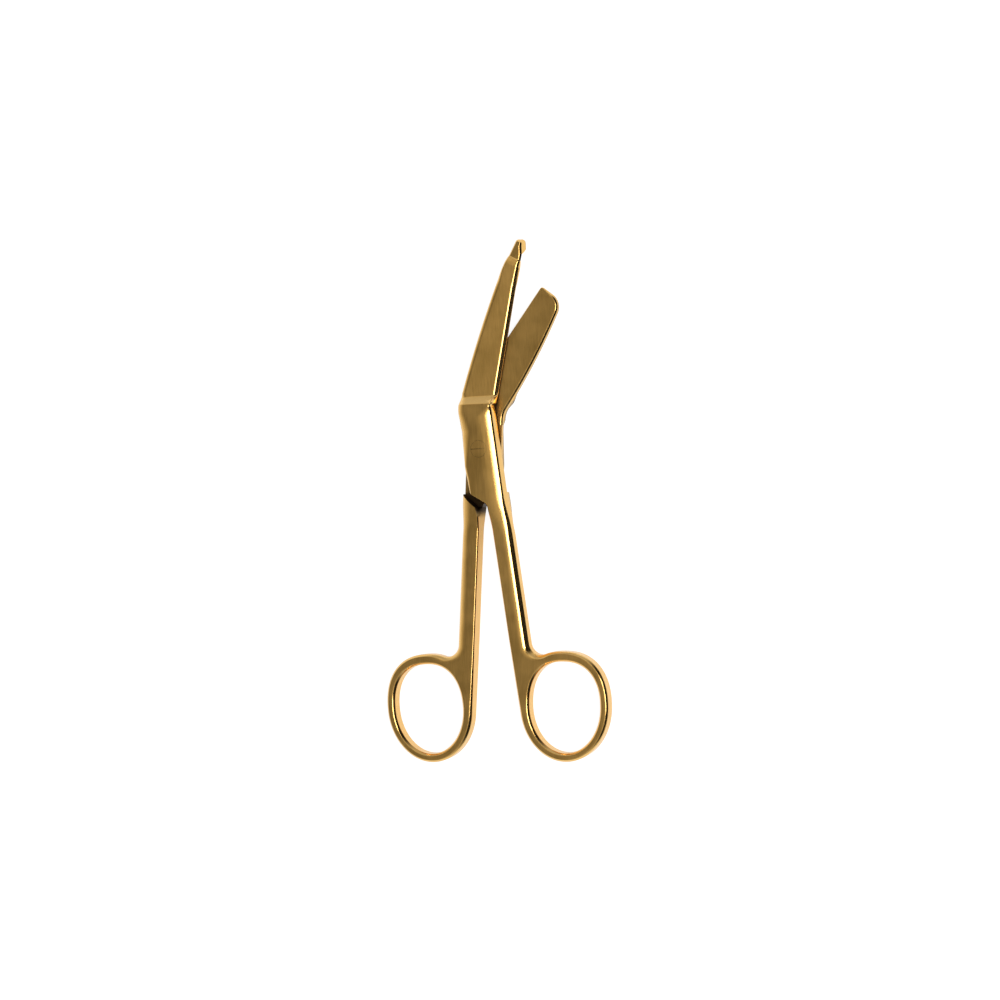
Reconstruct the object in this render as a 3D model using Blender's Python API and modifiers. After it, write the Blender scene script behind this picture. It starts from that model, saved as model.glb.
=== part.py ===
"""Bandage scissors: two forged halves that cross at a countersunk pivot screw.

Each half is drawn in a frame of its own: u runs from the pivot's axis towards
the half's finger ring, v runs from the pivot towards the blades, and w is the
height above the plane where the halves meet, positive towards the half's outer
face. The halves are then laid across each other, opened by a small angle: the
front half with w upwards, the rear half turned over. The part's origin is on
the pivot's axis, on the joint's back face, with +Z up and +Y midway between the
handles, towards the blades.
"""

import math

import bmesh
import bpy
from mathutils import Matrix, Vector

MM = 0.001

# Pose and running gaps, in millimetres and degrees
OPENING = 10.7            # between the two halves' v axes, as the scissors lie
LAP_GAP = 0.3             # between the flat faces where the halves cross
SHOULDER_GAP = 0.9        # between a joint plate and the shoulder it closes on
SCREW_GAP = 0.3           # round the screw

# Finger ring: an oval whose far end leans outwards, wider across its upper half
RING_DROP = 71.2          # pivot to the ring's middle, along the handle
RING_HOLE_WIDTH = 20.1
RING_HOLE_TOP = 11.9      # from the ring's middle to the hole's end by the shank
RING_HOLE_END = 12.5      # from the ring's middle to the hole's far end
RING_INNER_WIDTH = 2.75   # across the ring's wire, on the side in line with the shank
RING_OUTER_WIDTH = 2.4
RING_TOP_WIDTH = 2.75
RING_END_WIDTH = 2.3
RING_THICKNESS = 4.2
RING_LEAN = 8.5           # degrees
RING_TOP_POWER = 2.3      # an ellipse has 2, a squarer oval has more
RING_EDGE = 0.9           # rounding of the ring's edges

# Shank, and the handle as a whole, which leans outwards a little from the pivot
HANDLE_LEAN = 0.5         # degrees
INNER_EDGE = -0.25        # the inner edge's line, from the pivot's axis
SHANK_WIDTH = 5.15
SHANK_EDGE = 2.9          # reach of the full rounding along the outer side
SHANK_EDGE_DEPTH = 1.95
SHANK_FULL_ABOVE = 26.2   # that rounding is fully formed this far above the ring's middle
SHANK_FULL_BELOW = 24.0   # and this far below the pivot
WEB_RADIUS = 3.4          # fillet between shank and ring

# Joint plate
JOINT_WIDTH = 10.1
JOINT_THICKNESS = 7.2     # both plates together
JOINT_EDGE = 3.9          # reach of the domed outer side
JOINT_EDGE_DEPTH = 3.0
INNER_SIDE_EDGE = 3.3     # and of the inner side
INNER_SIDE_DEPTH = 2.5
JOINT_BLEND_START = 13.6  # the handle thins from this far below the pivot
JOINT_BLEND_LENGTH = 8.9
PLATE_FULL_HEIGHT = 5.0   # where the inner side is fully domed
PLATE_CORNER_SIDE = 4.35
PLATE_CORNER_DROP = 11.9
PLATE_CORNER_RADIUS = 0.8
PLATE_SIDE_RADIUS = 30.0
PLATE_SIDE_EDGE = 1.2     # rounding half way down to the corner
PLATE_CUT_LEAN = 53.0     # degrees from the handle's line, of the plate's lower side
PLATE_EDGE = 0.35
CROTCH_RADIUS = 1.5
RUNOUT_WIDTH = 1.25       # where the shoulder turns, from the inner edge's line
RUNOUT_INSET = 0.35       # how far that turn moves in from the floor to the face
RUNOUT_HEIGHT = 0.5       # the floor's end at the inner edge, up from the turn
RUNOUT_LENGTH = 2.4       # the ramp's end at the face, down from the turn

# Step from joint plate to blade
STEP_START = 12.0
STEP_LENGTH = 2.1
BASE_EDGE = 1.6           # rounding at the foot of a blade
BASE_EDGE_DEPTH = 1.4
EDGE_THICKNESS = 1.2      # of a blade at the top of its cutting bevel
BLADE_SLOPE = 4.8         # degrees that the face rises from there to the back
EDGE_REACH = 0.65         # width of the bevel that makes the cutting edge
EDGE_DEPTH = 0.95
EDGE_RUN = 3.0            # the bevel takes this length to form
SPINE_EDGE = 0.8

# Long blade
HEEL_HEIGHT = 11.5
HEEL_OVERHANG = 0.65
HEEL_RADIUS = 0.5
HEEL_EDGE = 0.8
LONG_EDGE_LEAN = 19.0
LONG_EDGE_LENGTH = 31.3
SPINE_BASE_HEIGHT = 12.0
SPINE_BASE_LEAN = 24.2
SPINE_BASE_RADIUS = 8.0

# Blunt probe that ends the long blade
PROBE_SIDE_LEAN = 24.5
PROBE_SIDE_LENGTH = 8.7
PROBE_NOSE_LEAN = 6.0
PROBE_NOSE_LENGTH = 4.6
PROBE_TIP_WIDTH = 2.1
PROBE_TIP_RADIUS = 1.0
PROBE_BACK_LEAN = 36.0
PROBE_BACK_LENGTH = 8.0
PROBE_BACK_RADIUS = 20.0
PROBE_FOOT_RADIUS = 10.0
PROBE_SIDE_RADIUS = 6.0
PROBE_EDGE = 0.75         # rounding of its back and tip
PROBE_SIDE_EDGE = 1.1     # reach of the rounding of its front side
PROBE_SIDE_DEPTH = 1.35
LEDGE_DROP = 8.3          # from the probe's tip down to the ledge across the blade's face
LEDGE_LENGTH = 2.3
PROBE_FACE = 0.8          # height of the probe's face above the meeting plane
PROBE_UNDER = 2.0         # depth of the probe's underside below it
PROBE_RAMP = 2.4          # length of the slope at the start of the underside

# Short blade
SHORT_EDGE_HEIGHT = 13.9
SHORT_EDGE_LEAN = -34.05
SHORT_EDGE_LENGTH = 36.0
SHORT_BASE_RADIUS = 2.5
TIP_RADIUS = 0.7
TIP_EDGE = 0.6
NOSE_LEAN = -125.0
NOSE_LENGTH = 6.9
NOSE_RADIUS = 4.1
BACK_BASE_HEIGHT = 9.5
BACK_BASE_LEAN = -33.0
BACK_BASE_RADIUS = 6.0
TIP_CLEARANCE = 0.9       # from the short blade's tip to the probe's underside

# Pivot screw
SCREW_DIAMETER = 3.0
SCREW_HEAD_DIAMETER = 4.5
SCREW_HEAD_DEPTH = 1.1
SLOT_WIDTH = 0.5
SLOT_DEPTH = 0.6
SCREW_EDGE = 0.15

# Fineness
ROUNDING_STEPS = 4
CURVE_STEP = 9.0          # degrees of turn for each facet of a curve
ARC_PIECES = 5            # straight pieces in a blade's long curved back
RING_FACETS = 56
ROUND_FACETS = 40
BLEND_ROWS = 6            # rows of facets where the handle thins
LEDGE_ROWS = 4

JOINT_HALF = JOINT_WIDTH / 2
PLATE_HEIGHT = JOINT_THICKNESS / 2
RING_HEIGHT = RING_THICKNESS / 2
OUTER_EDGE = INNER_EDGE + SHANK_WIDTH
PLATE_CORNER = Vector((-PLATE_CORNER_SIDE, -PLATE_CORNER_DROP))
BLEND_START = -JOINT_BLEND_START
BLEND_END = BLEND_START - JOINT_BLEND_LENGTH
STEP_END = STEP_START + STEP_LENGTH
LAP_FACE = LAP_GAP / 2
REACH_OUT = 3 * JOINT_WIDTH   # how far a cutter runs past what it cuts


def lean_direction(lean):
    """Unit vector at an angle from +v towards +u."""
    angle = math.radians(lean)
    return Vector((math.sin(angle), math.cos(angle)))


def meet(point_a, lean_a, point_b, lean_b):
    """Where two lines cross, each given by a point and a lean."""
    a, b = lean_direction(lean_a), lean_direction(lean_b)
    offset = Vector(point_b) - Vector(point_a)
    along = (offset.x * b.y - offset.y * b.x) / (a.x * b.y - a.y * b.x)
    return Vector(point_a) + a * along


def blend(value, start, end):
    """0 at start, 1 at end, with level ends."""
    t = min(max((value - start) / (end - start), 0.0), 1.0)
    return t * t * (3 - 2 * t)


def ramp(value, start, end):
    """0 at start, 1 at end, straight between."""
    return min(max((value - start) / (end - start), 0.0), 1.0)


def rounded(corners):
    """Path through corners (point, radius, reach, depth), each rounded by an arc."""
    path = []
    for index, (corner, radius, reach, depth) in enumerate(corners):
        corner = Vector(corner)
        if radius == 0 or index in (0, len(corners) - 1):
            path.append((corner, reach, depth))
            continue
        arriving = (corner - Vector(corners[index - 1][0])).normalized()
        leaving = (Vector(corners[index + 1][0]) - corner).normalized()
        turn = arriving.angle_signed(leaving)
        cut_back = radius * math.tan(abs(turn) / 2)
        side = Vector((arriving.y, -arriving.x)) * math.copysign(1, turn)
        centre = corner - arriving * cut_back + side * radius
        count = max(2, math.ceil(abs(math.degrees(turn)) / CURVE_STEP))
        for step in range(count + 1):
            swing = Matrix.Rotation(-turn * step / count, 2)
            path.append((centre + swing @ (-side * radius), reach, depth))
    return path


def arc(start, lean, end):
    """Points between two ends of an arc that leaves its start at the given lean."""
    chord = Vector(end) - Vector(start)
    turn = 2 * (math.degrees(math.atan2(chord.x, chord.y)) - lean)
    points = []
    for step in range(1, ARC_PIECES):
        share = step / ARC_PIECES
        length = chord.length * math.sin(math.radians(turn * share / 2)) / math.sin(math.radians(turn / 2))
        points.append(Vector(start) + lean_direction(lean + turn * share / 2) * length)
    return points


def oval(centre, half_width, top, end, angle):
    """Point and outward normal on a leaning oval, whose upper half is squarer than an ellipse."""
    across, along = math.cos(angle), math.sin(angle)
    reach, power = (top, RING_TOP_POWER) if along > 0 else (end, 2)
    side_share = math.copysign(abs(across) ** (2 / power), across)
    end_share = math.copysign(abs(along) ** (2 / power), along)
    point = Vector((half_width * side_share, reach * end_share))
    slope_u = math.copysign(abs(side_share) ** (power - 1), across) / half_width
    slope_v = math.copysign(abs(end_share) ** (power - 1), along) / reach
    lean = Matrix.Rotation(-math.radians(RING_LEAN), 2)
    return centre + lean @ point, (lean @ Vector((slope_u, slope_v))).normalized()


def ring_size():
    """Half width, top and far end of the ring's outside, from its middle."""
    half_width = (RING_INNER_WIDTH + RING_HOLE_WIDTH + RING_OUTER_WIDTH) / 2
    return half_width, RING_HOLE_TOP + RING_TOP_WIDTH, RING_HOLE_END + RING_END_WIDTH


def ring_centre():
    """The ring's outside touches the handle's inner edge line."""
    half_width, _, end = ring_size()
    lean = math.radians(RING_LEAN)
    return Vector((INNER_EDGE + math.hypot(half_width * math.cos(lean), end * math.sin(lean)), -RING_DROP))


def ring_outside():
    """Ring from its innermost point, round the far end, to the web by the shank."""
    half_width, top, end = ring_size()
    lean = math.radians(RING_LEAN)
    innermost = math.pi + math.atan2(end * math.sin(lean), half_width * math.cos(lean))
    low, high = 2.5 * math.pi, 2.9 * math.pi
    for _ in range(40):
        middle = (low + high) / 2
        point, normal = oval(ring_centre(), half_width, top, end, middle)
        if (point + normal * WEB_RADIUS).x > OUTER_EDGE + WEB_RADIUS:
            low = middle
        else:
            high = middle
    path = []
    count = round(RING_FACETS * (low - innermost) / (2 * math.pi))
    for step in range(count + 1):
        angle = innermost + (low - innermost) * step / count
        path.append(oval(ring_centre(), half_width, top, end, angle)[0])
    point, normal = oval(ring_centre(), half_width, top, end, low)
    web_centre = point + normal * WEB_RADIUS
    start = math.atan2(-normal.y, -normal.x)
    count = math.ceil(math.degrees(start + math.pi) / CURVE_STEP)
    for step in range(1, count + 1):
        angle = start - (start + math.pi) * step / count
        path.append(web_centre + WEB_RADIUS * Vector((math.cos(angle), math.sin(angle))))
    return [(point, RING_EDGE, RING_EDGE) for point in path]


def ring_hole():
    """The finger hole."""
    centre = ring_centre() + Vector(((RING_INNER_WIDTH - RING_OUTER_WIDTH) / 2, 0))
    path = []
    for step in range(RING_FACETS):
        angle = -2 * math.pi * step / RING_FACETS
        point, _ = oval(centre, RING_HOLE_WIDTH / 2, RING_HOLE_TOP, RING_HOLE_END, angle)
        path.append((on_handle(*point), RING_EDGE, RING_EDGE))
    return path


def on_handle(u, v):
    """Point given along the leaning handle, in the half's own frame."""
    return Matrix.Rotation(math.radians(HANDLE_LEAN), 2) @ Vector((u, v))


def handle_outline():
    """From the shank's inner edge round the ring and up the outer edge to the joint."""
    ring = [(on_handle(*point), reach, depth) for point, reach, depth in ring_outside()]
    shank = [
        (on_handle(OUTER_EDGE, SHANK_FULL_ABOVE - RING_DROP), SHANK_EDGE, SHANK_EDGE_DEPTH),
        (on_handle(OUTER_EDGE, -SHANK_FULL_BELOW), SHANK_EDGE, SHANK_EDGE_DEPTH),
    ]
    return ring + shank


def plate_crotch():
    """Where the joint plate's lower side runs into the handle's inner edge."""
    return meet(PLATE_CORNER, 180 - PLATE_CUT_LEAN, on_handle(INNER_EDGE, 0), -HANDLE_LEAN)


def plate_side(blade_base, base_radius):
    """From the blade's base down the joint's side to the crotch."""
    return [
        (blade_base, base_radius, BASE_EDGE, BASE_EDGE_DEPTH),
        ((-JOINT_HALF, PLATE_FULL_HEIGHT), 0, INNER_SIDE_EDGE, INNER_SIDE_DEPTH),
        ((-JOINT_HALF, PLATE_CORNER.y / 2), PLATE_SIDE_RADIUS, PLATE_SIDE_EDGE, PLATE_SIDE_EDGE),
        (PLATE_CORNER, PLATE_CORNER_RADIUS, PLATE_EDGE, PLATE_EDGE),
        (plate_crotch(), CROTCH_RADIUS, PLATE_EDGE, PLATE_EDGE),
        (on_handle(INNER_EDGE, BLEND_END), 0, RING_EDGE, RING_EDGE),
    ]


def probe_corners():
    """The probe's outline, from the end of the cutting edge round its tip to its back."""
    edge_end = heel() + lean_direction(LONG_EDGE_LEAN) * LONG_EDGE_LENGTH
    bulge = edge_end + lean_direction(PROBE_SIDE_LEAN) * PROBE_SIDE_LENGTH
    tip_right = bulge + lean_direction(PROBE_NOSE_LEAN) * PROBE_NOSE_LENGTH
    tip_left = tip_right - Vector((PROBE_TIP_WIDTH, 0))
    back = tip_left - lean_direction(PROBE_BACK_LEAN) * PROBE_BACK_LENGTH
    return edge_end, bulge, tip_right, tip_left, back


def heel():
    """The long blade's heel, which overhangs the joint's side."""
    return Vector((JOINT_HALF + HEEL_OVERHANG, HEEL_HEIGHT))


def long_blade():
    """The blade with the probe, from the joint's outer side round to the crotch."""
    edge_end, bulge, tip_right, tip_left, back = probe_corners()
    spine_base = Vector((-JOINT_HALF, SPINE_BASE_HEIGHT))
    spine = arc(spine_base, SPINE_BASE_LEAN, back)
    right = [
        ((JOINT_HALF, BLEND_START), 0, JOINT_EDGE, JOINT_EDGE_DEPTH),
        ((JOINT_HALF, HEEL_HEIGHT - EDGE_RUN), 0, JOINT_EDGE, JOINT_EDGE_DEPTH),
        ((JOINT_HALF, HEEL_HEIGHT - HEEL_OVERHANG), HEEL_RADIUS, HEEL_EDGE, HEEL_EDGE),
        (heel(), HEEL_RADIUS, HEEL_EDGE, HEEL_EDGE),
        (heel() + lean_direction(LONG_EDGE_LEAN) * EDGE_RUN, 0, EDGE_REACH, EDGE_DEPTH),
        (edge_end, PROBE_FOOT_RADIUS, EDGE_REACH, EDGE_DEPTH),
        (bulge, PROBE_SIDE_RADIUS, PROBE_SIDE_EDGE, PROBE_SIDE_DEPTH),
        (tip_right, PROBE_TIP_RADIUS, PROBE_EDGE, PROBE_EDGE),
        (tip_left, PROBE_TIP_RADIUS, PROBE_EDGE, PROBE_EDGE),
        (back, PROBE_BACK_RADIUS, PROBE_EDGE, PROBE_EDGE),
    ]
    curve = [(point, 0, SPINE_EDGE, SPINE_EDGE) for point in reversed(spine)]
    return rounded(right + curve + plate_side(spine_base, SPINE_BASE_RADIUS))


def short_edge_base():
    """Where the short blade's cutting edge leaves the joint's side."""
    return Vector((JOINT_HALF, SHORT_EDGE_HEIGHT))


def short_blade():
    """The plain blade, from the joint's outer side round to the crotch."""
    edge_base = short_edge_base()
    bevel_start = edge_base + lean_direction(SHORT_EDGE_LEAN) * EDGE_RUN
    tip = edge_base + lean_direction(SHORT_EDGE_LEAN) * SHORT_EDGE_LENGTH
    nose = tip + lean_direction(NOSE_LEAN) * NOSE_LENGTH
    back_base = Vector((-JOINT_HALF, BACK_BASE_HEIGHT))
    back = arc(back_base, BACK_BASE_LEAN, nose)
    right = [
        ((JOINT_HALF, BLEND_START), 0, JOINT_EDGE, JOINT_EDGE_DEPTH),
        ((JOINT_HALF, SHORT_EDGE_HEIGHT - EDGE_RUN), 0, JOINT_EDGE, JOINT_EDGE_DEPTH),
        (edge_base, SHORT_BASE_RADIUS, BASE_EDGE, BASE_EDGE_DEPTH),
        (bevel_start, 0, EDGE_REACH, EDGE_DEPTH),
        (tip, TIP_RADIUS, TIP_EDGE, TIP_EDGE),
        (nose, NOSE_RADIUS, SPINE_EDGE, SPINE_EDGE),
    ]
    curve = [(point, 0, SPINE_EDGE, SPINE_EDGE) for point in reversed(back)]
    return rounded(right + curve + plate_side(back_base, BACK_BASE_RADIUS))


def ledge_start():
    """Height up the long blade where its face starts down to the probe."""
    return probe_corners()[2].y - LEDGE_DROP


def handle_height(v):
    """Half the thickness of the handle, from the joint down to the ring."""
    rise = blend(v, BLEND_END, BLEND_START)
    return RING_HEIGHT + (PLATE_HEIGHT - RING_HEIGHT) * rise


def blade_height(u, v, has_probe):
    """Height over the meeting plane of the blade's outer face, which rises from edge to back."""
    start, lean = (heel(), LONG_EDGE_LEAN) if has_probe else (short_edge_base(), SHORT_EDGE_LEAN)
    edge = lean_direction(lean)
    from_edge = edge.x * (v - start.y) - edge.y * (u - start.x)
    return LAP_FACE + EDGE_THICKNESS + from_edge * math.tan(math.radians(BLADE_SLOPE))


def outer_height(u, v, has_probe):
    """Height of a half's outer face over the meeting plane."""
    if v < STEP_START:
        return handle_height(v)
    step = ramp(v, STEP_START, STEP_END)
    height = PLATE_HEIGHT + (blade_height(u, v, has_probe) - PLATE_HEIGHT) * step
    if has_probe:
        height += (PROBE_FACE - height) * blend(v, ledge_start(), ledge_start() + LEDGE_LENGTH)
    return height


def inner_height(v, has_probe):
    """Depth of a half's inner side, before the lap is cut away."""
    if has_probe and v > STEP_END:
        return PROBE_UNDER
    return handle_height(v)


def inward_normals(points):
    """Unit normal of a closed path at each point, scaled so that offset sides stay parallel."""
    normals = []
    for index, point in enumerate(points):
        before = (point - points[index - 1]).normalized()
        after = (points[(index + 1) % len(points)] - point).normalized()
        mean = (before + after).normalized()
        normal = Vector((-mean.y, mean.x))
        normals.append(normal / max(mean.dot(before), 0.5))
    return normals


def rounded_slab(outlines, half_height):
    """Slab between plus and minus half_height, its edges rounded by each point's own reach."""
    mesh = bmesh.new()
    caps = {1: [], -1: []}
    for outline in outlines:
        points = [entry[0] for entry in outline]
        normals = inward_normals(points)
        loops = []
        for side in (1, -1):
            for step in range(ROUNDING_STEPS + 1):
                angle = math.pi / 2 * (1 - step / ROUNDING_STEPS)
                if side < 0:
                    angle = math.pi / 2 * step / ROUNDING_STEPS
                loop = []
                for (point, reach, depth), normal in zip(outline, normals):
                    place = point + normal * reach * (1 - math.cos(angle))
                    height = side * (half_height - depth * (1 - math.sin(angle)))
                    loop.append(mesh.verts.new((place.x, place.y, height)))
                loops.append(loop)
        edge_loops = []
        for loop in loops:
            edge_loops.append([mesh.edges.new((a, b)) for a, b in zip(loop, loop[1:] + loop[:1])])
        for upper, lower in zip(loops, loops[1:]):
            for a, b, c, d in zip(upper, upper[1:] + upper[:1], lower[1:] + lower[:1], lower):
                mesh.faces.new((a, d, c, b))
        caps[1] += edge_loops[0]
        caps[-1] += edge_loops[-1]
    for edges in caps.values():
        bmesh.ops.triangle_fill(mesh, use_beauty=True, edges=edges)
    bmesh.ops.recalc_face_normals(mesh, faces=mesh.faces)
    return mesh


def cut_stations(mesh, heights):
    """Add a row of vertices across the mesh at each v, so that its height can bend there."""
    for height in heights:
        geometry = mesh.verts[:] + mesh.edges[:] + mesh.faces[:]
        bmesh.ops.bisect_plane(mesh, geom=geometry, dist=1e-4, plane_co=(0, height, 0), plane_no=(0, 1, 0))


def stations(has_probe):
    """Where the half's outer face changes slope."""
    rows = [BLEND_END + JOINT_BLEND_LENGTH * step / BLEND_ROWS for step in range(BLEND_ROWS + 1)]
    rows += [STEP_START, STEP_END]
    if has_probe:
        rows += [ledge_start() + LEDGE_LENGTH * step / LEDGE_ROWS for step in range(LEDGE_ROWS + 1)]
    return rows


def shape_height(mesh, half_height, has_probe):
    """Move both faces of the slab to the half's own heights."""
    for vertex in mesh.verts:
        drop = half_height - abs(vertex.co.z)
        if vertex.co.z > 0:
            vertex.co.z = outer_height(vertex.co.x, vertex.co.y, has_probe) - drop
        else:
            vertex.co.z = drop - inner_height(vertex.co.y, has_probe)


def mesh_object(name, mesh, collection, colour=None):
    """Object from a bmesh drawn in millimetres."""
    data = bpy.data.meshes.new(name)
    bmesh.ops.scale(mesh, vec=(MM, MM, MM), verts=mesh.verts)
    mesh.to_mesh(data)
    mesh.free()
    made = bpy.data.objects.new(name, data)
    collection.objects.link(made)
    if colour:
        data.materials.append(metal(name, colour))
        data.shade_smooth()
        data.set_sharp_from_angle(angle=math.radians(35))
    else:
        made.hide_render = True
        made.display_type = "WIRE"
    return made


def metal(name, colour):
    """Gold-plated steel."""
    material = bpy.data.materials.new(name)
    material.use_nodes = True
    shader = material.node_tree.nodes["Principled BSDF"]
    shader.inputs["Base Color"].default_value = (*colour, 1)
    shader.inputs["Metallic"].default_value = 1.0
    shader.inputs["Roughness"].default_value = 0.3
    return material


def subtract(target, cutter):
    """Cut one object from another, and keep the cutter live."""
    cut = target.modifiers.new("cut " + cutter.name, "BOOLEAN")
    cut.operation = "DIFFERENCE"
    cut.object = cutter


def shoulder_line(u):
    """v of the shoulder at u: the other half's plate side, mirrored and moved off by the gap."""
    slope = 1 / math.tan(math.radians(PLATE_CUT_LEAN))
    gap = SHOULDER_GAP / math.sin(math.radians(PLATE_CUT_LEAN))
    return PLATE_CORNER.y + (u + PLATE_CORNER.x) * slope - gap


def lap_section(height):
    """Section of the lap cutter: everything above the shoulder and short of the probe's underside."""
    depth = ramp(height, LAP_FACE, -PLATE_HEIGHT)
    below = max(0.0, LAP_FACE - height)
    end_radius = short_blade_reach() + TIP_CLEARANCE + PROBE_RAMP * below / (LAP_FACE + PROBE_UNDER)
    section = []
    for step in range(ROUND_FACETS + 1):
        angle = math.pi * step / ROUND_FACETS
        section.append((end_radius * math.cos(angle), end_radius * math.sin(angle)))
    turn = INNER_EDGE + RUNOUT_WIDTH - RUNOUT_INSET * depth
    run_out = shoulder_line(turn) + RUNOUT_HEIGHT * (1 - depth) - RUNOUT_LENGTH * depth
    section.append((-REACH_OUT, run_out))
    section.append((INNER_EDGE, run_out))
    section.append((turn, shoulder_line(turn)))
    section.append((REACH_OUT, shoulder_line(REACH_OUT)))
    return section


def short_blade_reach():
    """Farthest point of the short blade from the pivot."""
    return max(entry[0].length for entry in short_blade())


def lap_cutter(name, collection):
    """Loft between the cutter's sections at the lap face, at the outer face and past it."""
    mesh = bmesh.new()
    heights = (LAP_FACE, -PLATE_HEIGHT, -PLATE_HEIGHT - REACH_OUT)
    rings = []
    for height in heights:
        section = lap_section(height)
        rings.append([mesh.verts.new((u, v, height)) for u, v in section])
    for upper, lower in zip(rings, rings[1:]):
        for a, b, c, d in zip(upper, upper[1:] + upper[:1], lower[1:] + lower[:1], lower):
            mesh.faces.new((a, b, c, d))
    mesh.faces.new(rings[0])
    mesh.faces.new(rings[-1])
    bmesh.ops.recalc_face_normals(mesh, faces=mesh.faces)
    return mesh_object(name, mesh, collection)


def turned(name, profile, collection, colour=None):
    """Solid of revolution about the pivot's axis, from a profile of (radius, height)."""
    mesh = bmesh.new()
    points = [mesh.verts.new((radius, 0, height)) for radius, height in profile]
    for a, b in zip(points, points[1:]):
        mesh.edges.new((a, b))
    made = mesh_object(name, mesh, collection, colour)
    spin = made.modifiers.new("turn", "SCREW")
    spin.steps = ROUND_FACETS
    spin.render_steps = ROUND_FACETS
    spin.use_merge_vertices = True
    spin.merge_threshold = 0.00001
    return made


def half(name, blade, has_probe, collection, cutters, colour):
    """One forged half, in its own frame."""
    outline = handle_outline() + blade
    mesh = rounded_slab([outline, ring_hole()], PLATE_HEIGHT)
    cut_stations(mesh, stations(has_probe))
    shape_height(mesh, PLATE_HEIGHT, has_probe)
    made = mesh_object(name, mesh, collection, colour)
    lap = lap_cutter(name + "_lap", cutters)
    lap.parent = made
    subtract(made, lap)
    return made


def bore_profile(top, bottom):
    """Clearance hole for the screw, with a countersink for its head."""
    shank = SCREW_DIAMETER / 2 + SCREW_GAP
    head = SCREW_HEAD_DIAMETER / 2 + SCREW_GAP
    slope = (SCREW_HEAD_DIAMETER - SCREW_DIAMETER) / 2 / SCREW_HEAD_DEPTH
    face = PLATE_HEIGHT
    past = top - face
    return [
        (0, top),
        (head + slope * past, top),
        (head, face),
        (shank, face - SCREW_HEAD_DEPTH),
        (shank, bottom),
        (0, bottom),
    ]


def pivot_screw(collection, cutters, colour):
    """Countersunk screw, flush with the joint's front and back faces."""
    shank = SCREW_DIAMETER / 2
    head = SCREW_HEAD_DIAMETER / 2
    profile = [
        (0, PLATE_HEIGHT),
        (head - SCREW_EDGE, PLATE_HEIGHT),
        (head, PLATE_HEIGHT - SCREW_EDGE),
        (shank, PLATE_HEIGHT - SCREW_HEAD_DEPTH),
        (shank, SCREW_EDGE - PLATE_HEIGHT),
        (shank - SCREW_EDGE, -PLATE_HEIGHT),
        (0, -PLATE_HEIGHT),
    ]
    screw = turned("pivot_screw", profile, collection, colour)
    slot_mesh = bmesh.new()
    bmesh.ops.create_cube(slot_mesh, size=1)
    bmesh.ops.scale(slot_mesh, vec=(REACH_OUT, SLOT_WIDTH, 2 * SLOT_DEPTH), verts=slot_mesh.verts)
    slot = mesh_object("slot", slot_mesh, cutters)
    slot.parent = screw
    slot.location = (0, 0, PLATE_HEIGHT * MM)
    subtract(screw, slot)
    return screw


def build():
    """Make the three pieces and lay them as they rest, slightly open."""
    for old in list(bpy.data.objects):
        bpy.data.objects.remove(old, do_unlink=True)
    scissors = bpy.data.collections.new("bandage_scissors")
    cutters = bpy.data.collections.new("cutters")
    bpy.context.scene.collection.children.link(scissors)
    bpy.context.scene.collection.children.link(cutters)
    pivot = bpy.data.objects.new("pivot", None)
    pivot.location = (0, 0, PLATE_HEIGHT * MM)
    cutters.objects.link(pivot)

    gold = (0.62, 0.44, 0.16)
    pale_gold = (0.68, 0.50, 0.21)
    front = half("probe_blade_half", long_blade(), True, scissors, cutters, gold)
    front.rotation_euler = (0, 0, math.radians(OPENING / 2))
    bore = turned("front_bore", bore_profile(PLATE_HEIGHT + REACH_OUT, -PLATE_HEIGHT), cutters)
    bore.parent = front
    subtract(front, bore)

    rear = half("plain_blade_half", short_blade(), False, scissors, cutters, gold)
    rear.rotation_euler = (0, math.pi, -math.radians(OPENING / 2))
    shank = SCREW_DIAMETER / 2 + SCREW_GAP
    reach = PLATE_HEIGHT + REACH_OUT
    tapped = turned("rear_bore", [(0, reach), (shank, reach), (shank, -reach), (0, -reach)], cutters)
    tapped.parent = rear
    subtract(rear, tapped)

    screw = pivot_screw(scissors, cutters, pale_gold)
    for piece in (front, rear, screw):
        piece.parent = pivot


build()
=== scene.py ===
"""Gold-plated bandage scissors lying on a pale table, seen from above and a little to the right."""

import math

import bmesh
import bpy
from mathutils import Matrix, Vector


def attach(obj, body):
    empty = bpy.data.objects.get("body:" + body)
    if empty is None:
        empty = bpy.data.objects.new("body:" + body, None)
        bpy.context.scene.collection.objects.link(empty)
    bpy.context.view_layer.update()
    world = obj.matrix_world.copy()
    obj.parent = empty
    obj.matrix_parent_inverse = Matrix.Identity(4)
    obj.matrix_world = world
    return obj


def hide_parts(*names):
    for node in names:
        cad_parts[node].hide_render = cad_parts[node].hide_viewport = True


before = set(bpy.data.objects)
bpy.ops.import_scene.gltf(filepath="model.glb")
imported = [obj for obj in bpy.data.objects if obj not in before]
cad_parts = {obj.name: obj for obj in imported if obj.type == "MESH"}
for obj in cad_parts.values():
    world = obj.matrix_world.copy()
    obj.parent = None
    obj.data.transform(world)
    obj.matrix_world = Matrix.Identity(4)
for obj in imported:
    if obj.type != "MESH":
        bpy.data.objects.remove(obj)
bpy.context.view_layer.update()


# Plain half, the rear one: left finger ring, shank, joint plate and the short blade in one steel forging.
# It is drop forged, ground flat on its faces, polished round its edges and then gold plated.

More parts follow.
